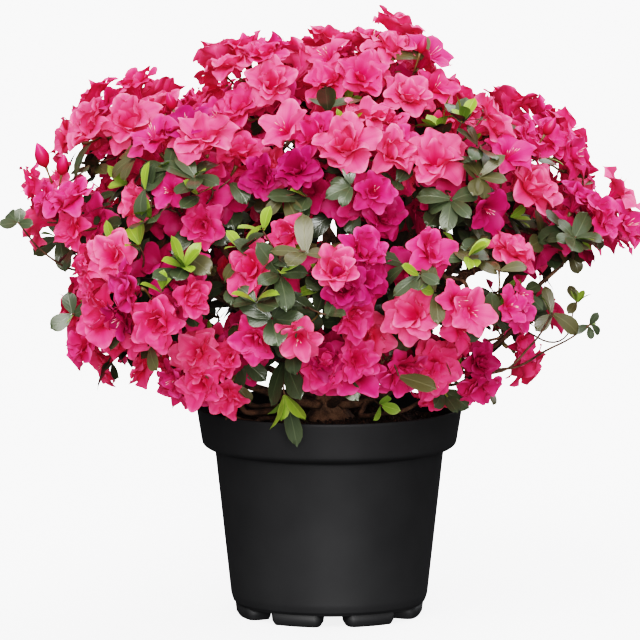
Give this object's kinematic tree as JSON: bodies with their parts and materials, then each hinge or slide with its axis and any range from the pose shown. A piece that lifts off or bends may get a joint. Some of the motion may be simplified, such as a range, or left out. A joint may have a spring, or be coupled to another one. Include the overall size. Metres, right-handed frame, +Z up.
{
  "type": "potted azalea shrub",
  "caption": "Evergreen azalea shrub in full pink bloom: a low domed crown of doubled flowers and small glossy leaves on woody boughs, growing in a round black nursery pot.",
  "frame": {"origin": "centre of the pot's foot, on the surface the pot stands on", "axes": "+Z up, the plant's front towards -Y, +X to the right of the front"},
  "size_m": [0.4459, 0.4083, 0.4338],
  "materials": {
    "pot_plastic": "satin",
    "soil": "matte",
    "bark": "matte",
    "leaf": "satin",
    "new_leaf": "satin",
    "blossom": "matte"
  },
  "bodies": {
    "root": {"pot": "pot_plastic", "soil": "soil", "stem": "bark", "bough_top_right": "bark", "bough_top_left": "bark", "bough_top_back": "bark", "bough_upper_front": "bark", "bough_upper_front_left": "bark", "bough_upper_left": "bark", "bough_upper_back_left": "bark", "bough_upper_back_right": "bark", "bough_upper_right": "bark", "bough_upper_front_right": "bark", "bough_tip_left": "bark", "bough_middle_front_left": "bark", "bough_middle_front": "bark", "bough_middle_front_right": "bark", "bough_tip_right": "bark", "bough_middle_right_back": "bark", "bough_middle_back": "bark", "bough_middle_back_left": "bark", "bough_middle_left_back": "bark", "bough_skirt_left": "bark", "bough_skirt_front_left": "bark", "bough_skirt_front": "bark", "bough_skirt_front_right": "bark", "bough_skirt_right": "bark", "bough_skirt_back_right": "bark", "bough_skirt_back_left": "bark", "mass_top_right": "blossom", "mass_top_left": "blossom", "mass_top_back": "blossom", "mass_upper_front": "blossom", "mass_upper_front_left": "leaf", "mass_upper_left": "blossom", "mass_upper_back_left": "blossom", "mass_upper_back_right": "blossom", "mass_upper_right": "blossom", "mass_upper_front_right": "blossom", "mass_tip_left": "blossom", "mass_middle_front_left": "blossom", "mass_middle_front": "leaf", "mass_middle_front_right": "blossom", "mass_tip_right": "blossom", "mass_middle_right_back": "blossom", "mass_middle_back": "leaf", "mass_middle_back_left": "blossom", "mass_middle_left_back": "leaf", "mass_skirt_left": "blossom", "mass_skirt_front_left": "blossom", "mass_skirt_front": "blossom", "mass_skirt_front_right": "blossom", "mass_skirt_right": "leaf", "mass_skirt_back_right": "blossom", "mass_skirt_back_left": "blossom"}
  },
  "joints": []
}
